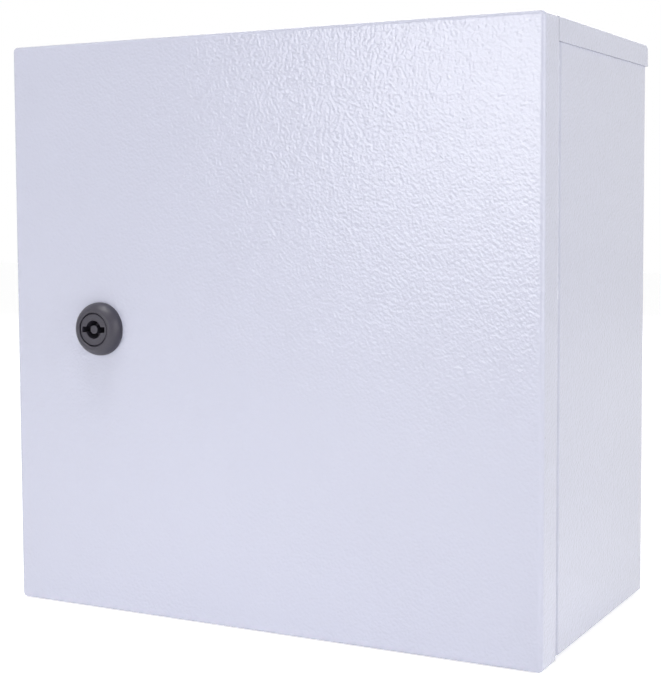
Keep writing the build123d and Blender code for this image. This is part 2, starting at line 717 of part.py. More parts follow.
# Lock plug: the head carries the double-bit keyhole, the tail a square for the cam.
cam_y = shoulder_rear_y + cam_clearance
cam_plane = Plane((lock_x, cam_y, lock_z), x_dir=(1, 0, 0), z_dir=(0, 1, 0))
plug_top = rosette_height - plug_recess
plug_seat = plug_float - bore_step
plug_end = front_y - cam_y
plug_face = lock_front.offset(plug_top)
with BuildPart() as lock_plug:
    with BuildSketch(lock_section):
        with BuildLine():
            Polyline(
                (0, plug_top),
                (plug_radius - plug_chamfer, plug_top),
                (plug_radius, plug_top - plug_chamfer),
                (plug_radius, plug_seat),
                (plug_neck_radius, plug_seat),
                (plug_neck_radius, plug_end),
                (0, plug_end),
                close=True,
            )
        make_face()
    revolve(axis=lock_axis)
    with BuildSketch(plug_face):
        Circle(key_hole_radius)
    extrude(amount=-key_hole_depth, mode=Mode.SUBTRACT)
    with BuildSketch(plug_face):
        Rectangle(key_wing_span, key_wing_height)
    extrude(amount=-key_wing_depth, mode=Mode.SUBTRACT)
    with BuildSketch(plug_face.offset(-key_hole_depth)):
        Circle(key_pin_radius)
    extrude(amount=key_hole_depth - key_pin_recess)
    with BuildSketch(cam_plane):
        Rectangle(drive_square, drive_square)
    extrude(amount=cam_thickness)
    with BuildSketch(cam_plane.offset(cam_thickness)):
        Circle(cam_screw_radius)
    extrude(amount=-cam_thickness - cam_screw_depth, mode=Mode.SUBTRACT)

# Cam: hangs down when unlocked, and a quarter turn takes its tip behind the left shoulder.
with BuildPart() as lock_cam:
    with BuildSketch(cam_plane):
        Rectangle(cam_width, cam_length, align=(Align.CENTER, Align.MIN))
        tip_corners = vertices().group_by(Axis.Z)[0]
        fillet(tip_corners, radius=cam_tip_round)
        Circle(cam_hub_radius)
        cam_hole = drive_square + drive_clearance * 2
        Rectangle(cam_hole, cam_hole, mode=Mode.SUBTRACT)
    extrude(amount=cam_thickness)

washer_plane = cam_plane.offset(cam_thickness)
with BuildPart() as cam_washer:
    with BuildSketch(washer_plane):
        Circle(cam_washer_radius)
        Circle(cam_screw_radius, mode=Mode.SUBTRACT)
    extrude(amount=cam_washer_thickness)

screw_head_plane = washer_plane.offset(cam_washer_thickness)
with BuildPart() as cam_screw:
    with BuildSketch(screw_head_plane):
        Circle(cam_screw_radius)
    extrude(amount=-cam_washer_thickness - cam_thickness - cam_screw_depth)
    with BuildSketch(screw_head_plane):
        RegularPolygon(cam_screw_flats / 2, 6, major_radius=False)
    extrude(amount=cam_screw_head)

os.makedirs("parts", exist_ok=True)
pieces = {
    "body_shell": body_shell,
    "roof_cap": roof_cap,
    "floor_pan": floor_pan,
    "gland_gasket": gland_gasket,
    "gland_plate": gland_plate,
    "gland_studs": gland_studs,
    "gland_nuts": gland_nuts,
    "plate_studs": plate_studs,
    "plate_spacers": plate_spacers,
    "mounting_plate": mounting_plate,
    "plate_washers": plate_washers,
    "plate_nuts": plate_nuts,
    "body_earth_stud": body_earth_stud,
    "body_earth_washer": body_earth_washer,
    "body_earth_nut": body_earth_nut,
    "upper_hinge_arm": upper_hinge_arm,
    "lower_hinge_arm": lower_hinge_arm,
    "hinge_arm_screws": hinge_arm_screws,
    "door_panel": door_panel,
    "door_gasket": door_gasket,
    "upper_hinge_top_lug": upper_hinge_top_lug,
    "upper_hinge_bottom_lug": upper_hinge_bottom_lug,
    "lower_hinge_top_lug": lower_hinge_top_lug,
    "lower_hinge_bottom_lug": lower_hinge_bottom_lug,
    "upper_hinge_pin": upper_hinge_pin,
    "lower_hinge_pin": lower_hinge_pin,
    "door_earth_stud": door_earth_stud,
    "door_earth_washer": door_earth_washer,
    "door_earth_nut": door_earth_nut,
    "lock_housing": lock_housing,
    "lock_seal": lock_seal,
    "lock_nut": lock_nut,
    "lock_plug": lock_plug,
    "lock_cam": lock_cam,
    "cam_washer": cam_washer,
    "cam_screw": cam_screw,
}
for name, piece in pieces.items():
    piece.part.label = name
    export_step(piece.part, f"parts/{name}.step")
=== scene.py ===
import bpy
import math
from mathutils import Matrix, Vector


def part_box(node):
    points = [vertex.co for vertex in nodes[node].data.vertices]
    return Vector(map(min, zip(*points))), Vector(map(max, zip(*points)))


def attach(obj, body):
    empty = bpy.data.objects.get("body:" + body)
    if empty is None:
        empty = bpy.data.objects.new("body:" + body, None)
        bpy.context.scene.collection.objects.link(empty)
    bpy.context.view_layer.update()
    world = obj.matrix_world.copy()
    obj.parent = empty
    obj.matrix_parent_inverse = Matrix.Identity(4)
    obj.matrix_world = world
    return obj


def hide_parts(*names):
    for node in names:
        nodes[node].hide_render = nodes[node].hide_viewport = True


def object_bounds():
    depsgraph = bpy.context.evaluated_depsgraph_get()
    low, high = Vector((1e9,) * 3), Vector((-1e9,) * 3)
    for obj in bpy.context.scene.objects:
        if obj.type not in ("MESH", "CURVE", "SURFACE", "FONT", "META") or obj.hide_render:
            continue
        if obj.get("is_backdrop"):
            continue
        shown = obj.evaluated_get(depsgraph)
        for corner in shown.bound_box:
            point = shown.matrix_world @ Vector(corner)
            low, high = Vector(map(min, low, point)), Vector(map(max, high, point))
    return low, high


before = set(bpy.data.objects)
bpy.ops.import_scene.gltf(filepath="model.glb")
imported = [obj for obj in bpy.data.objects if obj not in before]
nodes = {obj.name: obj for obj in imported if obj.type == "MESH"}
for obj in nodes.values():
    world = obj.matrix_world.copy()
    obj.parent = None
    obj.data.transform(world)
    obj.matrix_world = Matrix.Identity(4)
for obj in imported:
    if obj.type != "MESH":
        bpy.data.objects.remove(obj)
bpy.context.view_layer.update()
bpy.ops.object.select_all(action="DESELECT")


# Body shell, roof cap, floor pan and gland plate: mild steel sheet, cut, folded and welded,
# then sprayed with one light grey powder coat. The powder flows out in the oven
# to an orange peel of low grains about one and a half millimetres across.
def new_material(name):
    material = bpy.data.materials.new(name)
    material.use_nodes = True
    tree = material.node_tree
    return material, tree, tree.nodes["Principled BSDF"]


def dress(material, *names):
    for name in names:
        mesh = nodes[name].data
        mesh.materials.clear()
        mesh.materials.append(material)


def add_node(tree, kind, **inputs):
    node = tree.nodes.new(kind)
    for socket, value in inputs.items():
        node.inputs[socket.replace("_", " ")].default_value = value
    return node


def object_texture(tree, kind, **inputs):
    place = tree.nodes.new("ShaderNodeTexCoord")
    texture = add_node(tree, kind, **inputs)
    tree.links.new(place.outputs["Object"], texture.inputs["Vector"])
    return texture


def colour_mix(tree, shader, factor, first, second):
    mix = tree.nodes.new("ShaderNodeMix")
    mix.data_type = "RGBA"
    mix.inputs["A"].default_value = (*first, 1.0)
    mix.inputs["B"].default_value = (*second, 1.0)
    tree.links.new(factor, mix.inputs["Factor"])
    tree.links.new(mix.outputs["Result"], shader.inputs["Base Color"])


def roughness_range(tree, shader, factor, smooth, rough):
    spread = add_node(tree, "ShaderNodeMapRange", To_Min=smooth, To_Max=rough)
    tree.links.new(factor, spread.inputs["Value"])
    tree.links.new(spread.outputs["Result"], shader.inputs["Roughness"])


def bump_from(tree, shader, height, strength, distance):
    bump = add_node(tree, "ShaderNodeBump", Strength=strength, Distance=distance)
    tree.links.new(height, bump.inputs["Height"])
    tree.links.new(bump.outputs["Normal"], shader.inputs["Normal"])


def orange_peel_group():
    group = bpy.data.node_groups.new("orange_peel", "ShaderNodeTree")
    group.interface.new_socket("Vector", in_out="INPUT", socket_type="NodeSocketVector")
    group.interface.new_socket("Grains per metre", in_out="INPUT", socket_type="NodeSocketFloat")
    group.interface.new_socket("Height", in_out="OUTPUT", socket_type="NodeSocketFloat")
    group.interface.new_socket("Mottle", in_out="OUTPUT", socket_type="NodeSocketFloat")
    inlet = group.nodes.new("NodeGroupInput")
    outlet = group.nodes.new("NodeGroupOutput")
    grains = add_node(group, "ShaderNodeTexNoise", Detail=1.0, Roughness=0.35)
    ripples = add_node(group, "ShaderNodeTexNoise", Scale=260.0, Detail=0.0)
    mottle = add_node(group, "ShaderNodeTexNoise", Scale=9.0, Detail=3.0)
    total = group.nodes.new("ShaderNodeMath")
    total.operation = "MULTIPLY_ADD"
    ripple_share = 0.3
    total.inputs[1].default_value = ripple_share
    turned = add_node(group, "ShaderNodeMapping", Rotation=(0.5, 0.8, 0.3))
    group.links.new(inlet.outputs["Vector"], turned.inputs["Vector"])
    for texture in (grains, ripples, mottle):
        group.links.new(turned.outputs["Vector"], texture.inputs["Vector"])
    group.links.new(inlet.outputs["Grains per metre"], grains.inputs["Scale"])
    group.links.new(ripples.outputs["Fac"], total.inputs[0])
    group.links.new(grains.outputs["Fac"], total.inputs[2])
    group.links.new(total.outputs[0], outlet.inputs["Height"])
    group.links.new(mottle.outputs["Fac"], outlet.inputs["Mottle"])
    return group


coat, tree, shader = new_material("grey_powder_coat")
place = tree.nodes.new("ShaderNodeTexCoord")
peel = tree.nodes.new("ShaderNodeGroup")
peel.node_tree = orange_peel_group()
peel.inputs["Grains per metre"].default_value = 700.0
shader.inputs["Specular IOR Level"].default_value = 0.70
tree.links.new(place.outputs["Object"], peel.inputs["Vector"])
colour_mix(tree, shader, peel.outputs["Mottle"], (0.600, 0.612, 0.738), (0.620, 0.632, 0.760))
roughness_range(tree, shader, peel.outputs["Mottle"], smooth=0.07, rough=0.09)
bump_from(tree, shader, peel.outputs["Height"], strength=1.0, distance=0.00023)
dress(coat, "body_shell", "roof_cap", "floor_pan", "gland_plate")

# Gland seal: a flat frame stamped from black rubber sheet.
# It lies between the floor pan and the gland plate, and the six nuts squeeze it.
rubber, tree, shader = new_material("black_rubber")
bloom = object_texture(tree, "ShaderNodeTexNoise", Scale=120.0, Detail=4.0)
colour_mix(tree, shader, bloom.outputs["Fac"], (0.012, 0.012, 0.012), (0.028, 0.028, 0.028))
roughness_range(tree, shader, bloom.outputs["Fac"], smooth=0.55, rough=0.75)
dress(rubber, "gland_gasket")

# Gland studs and flange nuts: zinc-plated steel, grey with a faint blue cast.
# Six M5 studs are welded to the floor pan, and each nut is made in one with its flange.
# The threads are rolled, with a narrow flat at crest and root.
plated, tree, shader = new_material("zinc_plated_steel")
stain = object_texture(tree, "ShaderNodeTexNoise", Scale=260.0, Detail=4.0)
shader.inputs["Metallic"].default_value = 1.0
colour_mix(tree, shader, stain.outputs["Fac"], (0.44, 0.455, 0.48), (0.58, 0.59, 0.615))
roughness_range(tree, shader, stain.outputs["Fac"], smooth=0.34, rough=0.48)


def pick_vertices(piece, wanted):
    bpy.ops.object.mode_set(mode="OBJECT")
    for part in (piece.data.polygons, piece.data.edges, piece.data.vertices):
        for item in part:
            item.select = False
    for vertex in piece.data.vertices:
        vertex.select = bool(wanted(vertex.co))
    bpy.ops.object.mode_set(mode="EDIT")
    bpy.ops.mesh.select_mode(type="VERT")


def apply_modifier(piece, kind, **settings):
    modifier = piece.modifiers.new(kind.lower(), kind)
    for setting, value in settings.items():
        setattr(modifier, setting, value)
    bpy.context.view_layer.objects.active = piece
    bpy.ops.object.modifier_apply(modifier=modifier.name)


def cut_with(piece, tool, operation):
    apply_modifier(piece, "BOOLEAN", object=tool, operation=operation, solver="EXACT")
    bpy.data.objects.remove(tool)


def threaded_rod(name, crest, root, pitch, low, high):
    bpy.ops.object.select_all(action="DESELECT")
    bpy.ops.mesh.primitive_plane_add(size=pitch, location=(root, 0.0, low - pitch))
    rod = bpy.context.object
    rod.name = name
    bpy.ops.object.transform_apply()
    bpy.ops.object.mode_set(mode="EDIT")
    bpy.ops.mesh.merge(type="CENTER")
    rise = crest - root
    flank_share, flat_share = 0.375, 0.125
    profile = ((rise, flank_share), (0.0, flat_share), (-rise, flank_share), (0.0, flat_share))
    for outward, share in profile:
        move = (outward, 0.0, share * pitch)
        bpy.ops.mesh.extrude_vertices_move(TRANSFORM_OT_translate={"value": move})
    bpy.ops.object.mode_set(mode="OBJECT")
    spare_turns, turn_steps = 2, 18
    turns = math.ceil((high - low) / pitch) + spare_turns
    apply_modifier(
        rod, "SCREW", axis="Z", angle=math.tau, screw_offset=pitch, iterations=turns,
        steps=turn_steps, render_steps=turn_steps,
    )
    bpy.ops.object.mode_set(mode="EDIT")
    bpy.ops.mesh.select_all(action="SELECT")
    bpy.ops.mesh.remove_doubles(threshold=pitch / 100)
    for height, below in ((low, True), (high, False)):
        bpy.ops.mesh.select_all(action="SELECT")
        bpy.ops.mesh.bisect(
            plane_co=(0.0, 0.0, height), plane_no=(0.0, 0.0, 1.0), use_fill=True,
            clear_inner=below, clear_outer=not below, threshold=pitch / 1000,
        )
    bpy.ops.mesh.select_all(action="SELECT")
    bpy.ops.mesh.normals_make_consistent(inside=False)
    bpy.ops.object.mode_set(mode="OBJECT")
    return rod


def point_the_end(rod, high, length):
    end_share = 0.86
    pick_vertices(rod, lambda point: point.z > high - length)
    bpy.ops.transform.resize(value=(end_share, end_share, 1.0), center_override=(0.0, 0.0, high))
    bpy.ops.object.mode_set(mode="OBJECT")


def flared_cylinder(radius, low, high, end_radius, end_length, sides):
    bpy.ops.object.select_all(action="DESELECT")
    middle = (low + high) / 2
    straight = high - low - 2 * end_length
    bpy.ops.mesh.primitive_cylinder_add(
        vertices=sides, radius=radius, depth=straight, location=(0.0, 0.0, middle)
    )
    blank = bpy.context.object
    bpy.ops.object.transform_apply()
    share = end_radius / radius
    for level, way in ((middle + straight / 2, 1.0), (middle - straight / 2, -1.0)):
        pick_vertices(blank, lambda point: abs(point.z - level) < straight / 100)
        bpy.ops.mesh.extrude_region_move(TRANSFORM_OT_translate={"value": (0.0, 0.0, way * end_length)})
        bpy.ops.transform.resize(value=(share, share, 1.0), center_override=(0.0, 0.0, level))
    bpy.ops.mesh.select_all(action="SELECT")
    bpy.ops.mesh.normals_make_consistent(inside=False)
    bpy.ops.object.mode_set(mode="OBJECT")
    return blank


def hexagon(name, flats, low, high):
    corner = flats / math.sqrt(3)
    bpy.ops.object.select_all(action="DESELECT")
    bpy.ops.mesh.primitive_cylinder_add(
        vertices=6, radius=corner, depth=high - low, location=(0.0, 0.0, (low + high) / 2)
    )
    piece = bpy.context.object
    piece.name = name
    bpy.ops.object.transform_apply()
    face_share, chamfer_slope, oversize, sides = 0.475, 0.577, 1.001, 48
    face_radius = face_share * flats
    chamfer = (corner - face_radius) * chamfer_slope
    turned = flared_cylinder(corner * oversize, low, high, face_radius, chamfer, sides)
    cut_with(piece, turned, "INTERSECT")
    return piece


def hex_nut(name, flats, height, bore, flange_radius=0.0, flange_height=0.0):
    edge_share, flare_share = 0.3, 0.12
    flange_sides, bore_sides = 48, 36
    whole = flange_height + height
    nut = hexagon(name, flats, flange_height / 2, whole)
    if flange_height:
        edge = flange_height * edge_share
        rim = flange_radius - edge
        cut_with(nut, flared_cylinder(flange_radius, 0.0, flange_height, rim, edge, flange_sides), "UNION")
    flare = bore * flare_share
    reach = flare * 2
    drill = flared_cylinder(bore, -flare, whole + flare, bore + reach, reach, bore_sides)
    cut_with(nut, drill, "DIFFERENCE")
    return nut


def spread_copies(piece, places, axis):
    turn = Vector((0.0, 0.0, 1.0)).rotation_difference(Vector(axis)).to_matrix().to_4x4()
    bpy.ops.object.select_all(action="DESELECT")
    copies = []
    for spot in places:
        copy = piece.copy()
        copy.data = piece.data.copy()
        bpy.context.scene.collection.objects.link(copy)
        copy.matrix_world = Matrix.Translation(spot) @ turn
        copy.select_set(True)
        copies.append(copy)
    name = piece.name
    bpy.data.objects.remove(piece)
    bpy.context.view_layer.objects.active = copies[0]
    if len(copies) > 1:
        bpy.ops.object.join()
    bpy.ops.object.transform_apply()
    copies[0].name = name
    return copies[0]


def finish_piece(piece, material, body, node=None, angle=math.radians(30)):
    bpy.ops.object.select_all(action="DESELECT")
    piece.select_set(True)
    bpy.context.view_layer.objects.active = piece
    bpy.ops.object.shade_smooth_by_angle(angle=angle)
    piece.data.materials.clear()
    piece.data.materials.append(material)
    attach(piece, body)
    if node:
        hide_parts(node)


up = (0.0, 0.0, 1.0)
low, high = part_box("gland_studs")
m5_crest, m5_root, m5_pitch = 0.0025, 0.0021, 0.0008
gland_columns = (low[0] + m5_crest, (low[0] + high[0]) / 2, high[0] - m5_crest)
gland_rows = (low[1] + m5_crest, high[1] - m5_crest)
gland_places = [(x, y, 0.0) for x in gland_columns for y in gland_rows]
rod = threaded_rod("gland_threaded_studs", m5_crest, m5_root, m5_pitch, low[2], high[2])
point_the_end(rod, high[2], m5_pitch)
finish_piece(spread_copies(rod, gland_places, up), plated, "body", "gland_studs")
low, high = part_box("gland_nuts")
gland_places = [(x, y, low[2]) for x, y, _ in gland_places]
m5_flats, m5_height, m5_flange_radius, m5_flange_height = 0.008, 0.004, 0.0055, 0.0012
nut = hex_nut("gland_flange_nuts", m5_flats, m5_height, m5_crest, m5_flange_radius, m5_flange_height)
finish_piece(spread_copies(nut, gland_places, up), plated, "body", "gland_nuts")

# Mounting plate: galvanised sheet, cut and punched, the carrier for whatever is fitted inside.
# The zinc has frozen in flat crystals a few millimetres across, each with its own shine.
galvanised, tree, shader = new_material("galvanised_sheet")
spangle = object_texture(tree, "ShaderNodeTexVoronoi", Scale=190.0)
shader.inputs["Metallic"].default_value = 1.0
colour_mix(tree, shader, spangle.outputs["Color"], (0.52, 0.54, 0.56), (0.66, 0.68, 0.70))
roughness_range(tree, shader, spangle.outputs["Color"], smooth=0.30, rough=0.52)
dress(galvanised, "mounting_plate")

# Plate studs, spacers, washers and nuts: zinc-plated M6 hardware.
# The studs are welded to the back, and the nuts clamp the plate on to its spacers.
rear = (0.0, 1.0, 0.0)
front = (0.0, -1.0, 0.0)
m6_crest, m6_root, m6_pitch = 0.003, 0.00248, 0.001
m6_flats, m6_height = 0.010, 0.005
low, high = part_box("plate_studs")
plate_columns = (low[0] + m6_crest, high[0] - m6_crest)
plate_rows = (low[2] + m6_crest, high[2] - m6_crest)
plate_places = [(x, high[1], z) for x in plate_columns for z in plate_rows]
length = high[1] - low[1]
rod = threaded_rod("plate_threaded_studs", m6_crest, m6_root, m6_pitch, 0.0, length)
point_the_end(rod, length, m6_pitch)
finish_piece(spread_copies(rod, plate_places, front), plated, "body", "plate_studs")
low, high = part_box("plate_nuts")
nut = hex_nut("plate_hex_nuts", m6_flats, m6_height, m6_crest)
plate_places = [(x, high[1], z) for x, _, z in plate_places]
finish_piece(spread_copies(nut, plate_places, front), plated, "body", "plate_nuts")
dress(plated, "plate_spacers", "plate_washers")

# Body earth stud: an M6 stud welded to the floor pan, with its washer and nut.
# It is the same plated hardware as on the mounting plate.
low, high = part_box("body_earth_stud")
centre_x, centre_y = (low[0] + high[0]) / 2, (low[1] + high[1]) / 2
rod = threaded_rod("body_earth_threaded_stud", m6_crest, m6_root, m6_pitch, low[2], high[2])
point_the_end(rod, high[2], m6_pitch)
earth_place = [(centre_x, centre_y, 0.0)]
finish_piece(spread_copies(rod, earth_place, up), plated, "body", "body_earth_stud")
low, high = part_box("body_earth_nut")
nut = hex_nut("body_earth_hex_nut", m6_flats, m6_height, m6_crest)
earth_place = [(centre_x, centre_y, low[2])]
finish_piece(spread_copies(nut, earth_place, up), plated, "body", "body_earth_nut")
dress(plated, "body_earth_washer")

# Hinge arms: zinc castings, tumbled to a dull even skin.
# Two socket screws hold each arm to the right shoulder of the body.
casting, tree, shader = new_material("zinc_casting")
skin = object_texture(tree, "ShaderNodeTexNoise", Scale=900.0, Detail=3.0)
shader.inputs["Metallic"].default_value = 1.0
colour_mix(tree, shader, skin.outputs["Fac"], (0.36, 0.37, 0.39), (0.50, 0.51, 0.53))
roughness_range(tree, shader, skin.outputs["Fac"], smooth=0.44, rough=0.56)
bump_from(tree, shader, skin.outputs["Fac"], strength=0.6, distance=0.00006)
dress(casting, "upper_hinge_arm", "lower_hinge_arm")
dress(plated, "hinge_arm_screws", "upper_hinge_pin", "lower_hinge_pin")

# Door and hinge lugs: a folded pan in the same coat, with four plates welded into its right fold.
# One short bead of weld runs along the foot of each lug, under the coat.
dress(coat, "door_panel")
bead_radius, bead_drops = 0.0013, 8
run_share, start_share = 0.72, 0.08
drop_scale = (0.8, 0.9, 0.9)
for hinge in ("upper", "lower"):
    for end, outward in (("top", 1.0), ("bottom", -1.0)):
        lug = f"{hinge}_hinge_{end}_lug"
        dress(coat, lug)
        low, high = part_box(lug)
        face_z = high[2] if outward > 0 else low[2]
        lug_width = high[0] - low[0]
        run = lug_width * run_share
        first = (low[0] + lug_width * start_share, low[1] + bead_radius / 3, face_z)
        bpy.ops.object.select_all(action="DESELECT")
        bpy.ops.mesh.primitive_uv_sphere_add(segments=16, ring_count=10, radius=bead_radius, location=first)
        bead = bpy.context.object
        bead.name = f"{hinge}_hinge_{end}_weld"
        bpy.ops.object.transform_apply()
        bpy.ops.object.mode_set(mode="EDIT")
        bpy.ops.mesh.select_all(action="SELECT")
        bpy.ops.transform.resize(value=drop_scale, center_override=first)
        bpy.ops.object.mode_set(mode="OBJECT")
        apply_modifier(
            bead, "ARRAY", count=bead_drops, use_relative_offset=False, use_constant_offset=True,
            constant_offset_displace=(run / (bead_drops - 1), 0.0, 0.0),
        )
        apply_modifier(bead, "REMESH", mode="VOXEL", voxel_size=bead_radius / 6)
        apply_modifier(bead, "SMOOTH", factor=0.5, iterations=3)
        finish_piece(bead, coat, "door", angle=math.radians(80))

# Door gasket: black polyurethane foam, poured on to the door as one soft bead with a closed skin.
# The bead is crowned, swells a little along its run, and is slightly wider where its ends meet.
foam, tree, shader = new_material("black_foam")
pores = object_texture(tree, "ShaderNodeTexVoronoi", Scale=1100.0)
colour_mix(tree, shader, pores.outputs["Distance"], (0.012, 0.012, 0.013), (0.034, 0.034, 0.036))
roughness_range(tree, shader, pores.outputs["Distance"], smooth=0.70, rough=0.85)
bump_from(tree, shader, pores.outputs["Distance"], strength=0.7, distance=0.0003)
low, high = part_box("door_gasket")
bead_width, bead_corner, bead_crown = 0.0076, 0.0095, 0.0034
height_slack, side_slack = 0.0001, 0.0004
bead_height = high[1] - low[1] - height_slack
bead_side = high[0] - low[0] - side_slack
bead_middle = bead_side / 2 - bead_width / 2
bpy.ops.object.select_all(action="DESELECT")
bpy.ops.mesh.primitive_plane_add(size=bead_side)
gasket = bpy.context.object
gasket.name = "door_foam_bead"
bpy.ops.object.mode_set(mode="EDIT")
bpy.ops.mesh.select_all(action="SELECT")
bpy.ops.mesh.bevel(offset=bead_corner, affect="VERTICES", segments=8)
bpy.ops.mesh.select_mode(type="FACE")
bpy.ops.mesh.select_all(action="SELECT")
bpy.ops.mesh.inset(thickness=bead_width)
bpy.ops.mesh.delete(type="FACE")
bpy.ops.mesh.select_all(action="SELECT")
bpy.ops.mesh.extrude_region_move(TRANSFORM_OT_translate={"value": (0.0, 0.0, bead_height)})
bpy.ops.mesh.select_mode(type="EDGE")
bpy.ops.mesh.select_all(action="DESELECT")
bpy.ops.object.mode_set(mode="OBJECT")
for edge in gasket.data.edges:
    ends = [gasket.data.vertices[index].co for index in edge.vertices]
    outside = [max(abs(end.x), abs(end.y)) > bead_middle for end in ends]
    edge.select = all(end.z > bead_height / 2 for end in ends) and outside[0] == outside[1]
bpy.ops.object.mode_set(mode="EDIT")
bpy.ops.mesh.bevel(offset=bead_crown, affect="EDGES", segments=6)
bead_spans = 26
for step in range(1, bead_spans):
    across = bead_side * (step / bead_spans - 0.5)
    for direction in (Vector((1.0, 0.0, 0.0)), Vector((0.0, 1.0, 0.0))):
        bpy.ops.mesh.select_all(action="SELECT")
        bpy.ops.mesh.bisect(plane_co=direction * across, plane_no=direction)
bpy.ops.mesh.select_all(action="SELECT")
bpy.ops.mesh.remove_doubles(threshold=0.00001)
bpy.ops.mesh.normals_make_consistent(inside=False)
pick_vertices(gasket, lambda point: point.z > bead_height / 4)
gasket.vertex_groups.new(name="free_skin")
bpy.ops.object.vertex_group_assign()
bpy.ops.object.mode_set(mode="OBJECT")
swell = bpy.data.textures.new("foam_swell", "CLOUDS")
swell.noise_scale = 0.018
apply_modifier(
    gasket, "DISPLACE", texture=swell, texture_coords="LOCAL", strength=0.0005, mid_level=0.5,
    vertex_group="free_skin",
)
join_share, join_half, join_swell = 0.2, 0.007, 1.14
join_place = Vector((-bead_side * join_share, bead_middle, 0.0))
inner_edge = bead_middle - bead_width
pick_vertices(gasket, lambda point: abs(point.x - join_place.x) < join_half and point.y > inner_edge)
bpy.ops.transform.resize(value=(1.0, join_swell, 1.0), center_override=join_place)
bpy.ops.object.mode_set(mode="OBJECT")
gasket = spread_copies(gasket, [(0.0, low[1], (low[2] + high[2]) / 2)], rear)
finish_piece(gasket, foam, "door", "door_gasket", math.radians(70))

# Door earth stud: an M6 stud welded to the inside of the door, with its washer and nut.
# It takes the wire that bonds the door to the body.
low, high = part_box("door_earth_stud")
earth_x, earth_z = (low[0] + high[0]) / 2, (low[2] + high[2]) / 2
length = high[1] - low[1]
rod = threaded_rod("door_earth_threaded_stud", m6_crest, m6_root, m6_pitch, 0.0, length)
point_the_end(rod, length, m6_pitch)
finish_piece(
    spread_copies(rod, [(earth_x, low[1], earth_z)], rear), plated, "door", "door_earth_stud"
)
low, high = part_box("door_earth_nut")
nut = hex_nut("door_earth_hex_nut", m6_flats, m6_height, m6_crest)
finish_piece(
    spread_copies(nut, [(earth_x, low[1], earth_z)], rear), plated, "door", "door_earth_nut"
)
dress(plated, "door_earth_washer")

# Lock housing and plug: castings with a dark grey satin coat, the only dark piece on the front.
# The housing passes through the door from the front, on a thin rubber seal.
dark, tree, shader = new_material("dark_satin_coat")
grit = object_texture(tree, "ShaderNodeTexNoise", Scale=1600.0, Detail=3.0)
colour_mix(tree, shader, grit.outputs["Fac"], (0.032, 0.029, 0.043), (0.047, 0.043, 0.061))
roughness_range(tree, shader, grit.outputs["Fac"], smooth=0.36, rough=0.50)
bump_from(tree, shader, grit.outputs["Fac"], strength=0.5, distance=0.00004)
dress(dark, "lock_housing", "lock_plug")
dress(rubber, "lock_seal")

# Lock nut, cam, washer and screw: plated steel behind the door.
# The flange nut runs on the thread of the housing's barrel and pulls the lock on to its seal,
# and the hexagon screw holds the cam on the square end of the plug.
low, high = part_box("lock_nut")
lock_x, lock_z = (low[0] + high[0]) / 2, (low[2] + high[2]) / 2
barrel_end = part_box("lock_housing")[1][1]
barrel_crest, barrel_root, barrel_pitch = 0.01132, 0.01092, 0.0015
barrel_inside, barrel_flat = 0.0107, 0.00998
barrel_end_gap, core_end_share, core_sides = 0.0003, 0.99, 48
length = barrel_end - high[1] - barrel_end_gap
thread = threaded_rod("lock_barrel_thread", barrel_crest, barrel_root, barrel_pitch, 0.0, length)
core_end = barrel_inside * core_end_share
core = flared_cylinder(barrel_inside, -length, length * 2, core_end, length / 10, core_sides)
cut_with(thread, core, "DIFFERENCE")
bpy.context.view_layer.objects.active = thread
bpy.ops.object.mode_set(mode="EDIT")
for side in (1.0, -1.0):
    bpy.ops.mesh.select_all(action="SELECT")
    bpy.ops.mesh.bisect(
        plane_co=(side * barrel_flat, 0.0, 0.0), plane_no=(side, 0.0, 0.0), use_fill=True, clear_outer=True
    )
bpy.ops.object.mode_set(mode="OBJECT")
thread = spread_copies(thread, [(lock_x, high[1], lock_z)], rear)
finish_piece(thread, dark, "door")
nut_flats, nut_height, nut_bore, nut_flange_radius, nut_flange_height = 0.027, 0.006, 0.01105, 0.016, 0.0015
nut = hex_nut("lock_flange_nut", nut_flats, nut_height, nut_bore, nut_flange_radius, nut_flange_height)
nut = spread_copies(nut, [(lock_x, low[1], lock_z)], rear)
finish_piece(nut, plated, "door", "lock_nut")
low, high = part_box("cam_screw")
head_flats, head_height, shank_radius = 0.010, 0.004, 0.003
shank_end_share, shank_sides = 0.85, 36
shank = high[1] - low[1] - head_height
screw = hexagon("cam_hex_screw", head_flats, 0.0, head_height)
shank_end = shank_radius * shank_end_share
stem = flared_cylinder(shank_radius, -shank, head_height / 2, shank_end, head_height / 10, shank_sides)
cut_with(screw, stem, "UNION")
screw = spread_copies(screw, [(lock_x, high[1] - head_height, lock_z)], rear)
finish_piece(screw, plated, "lock_core", "cam_screw")
dress(plated, "lock_cam", "cam_washer")

# Floor: a plain white sheet that the box stands on.
# It is lifted to full white for the camera and in reflections, so only the soft shadow shows on it.
floor_size, floor_drop = 8.0, 0.0005
bpy.ops.object.select_all(action="DESELECT")
bpy.ops.mesh.primitive_plane_add(size=floor_size, location=(0.0, 0.0, -floor_drop))
floor = bpy.context.object
floor.name = "floor"
paper, tree, shader = new_material("white_sheet")
shader.inputs["Base Color"].default_value = (0.92, 0.92, 0.92, 1.0)
shader.inputs["Roughness"].default_value = 0.9
shader.inputs["Specular IOR Level"].default_value = 0.1


def seen_rays(tree):
    path = tree.nodes.new("ShaderNodeLightPath")
    glossy = tree.nodes.new("ShaderNodeMath")
    glossy.operation = "MAXIMUM"
    clear = tree.nodes.new("ShaderNodeMath")
    clear.operation = "MAXIMUM"
    tree.links.new(path.outputs["Is Camera Ray"], glossy.inputs[0])
    tree.links.new(path.outputs["Is Glossy Ray"], glossy.inputs[1])
    tree.links.new(glossy.outputs[0], clear.inputs[0])
    tree.links.new(path.outputs["Is Transmission Ray"], clear.inputs[1])
    return clear.outputs[0]


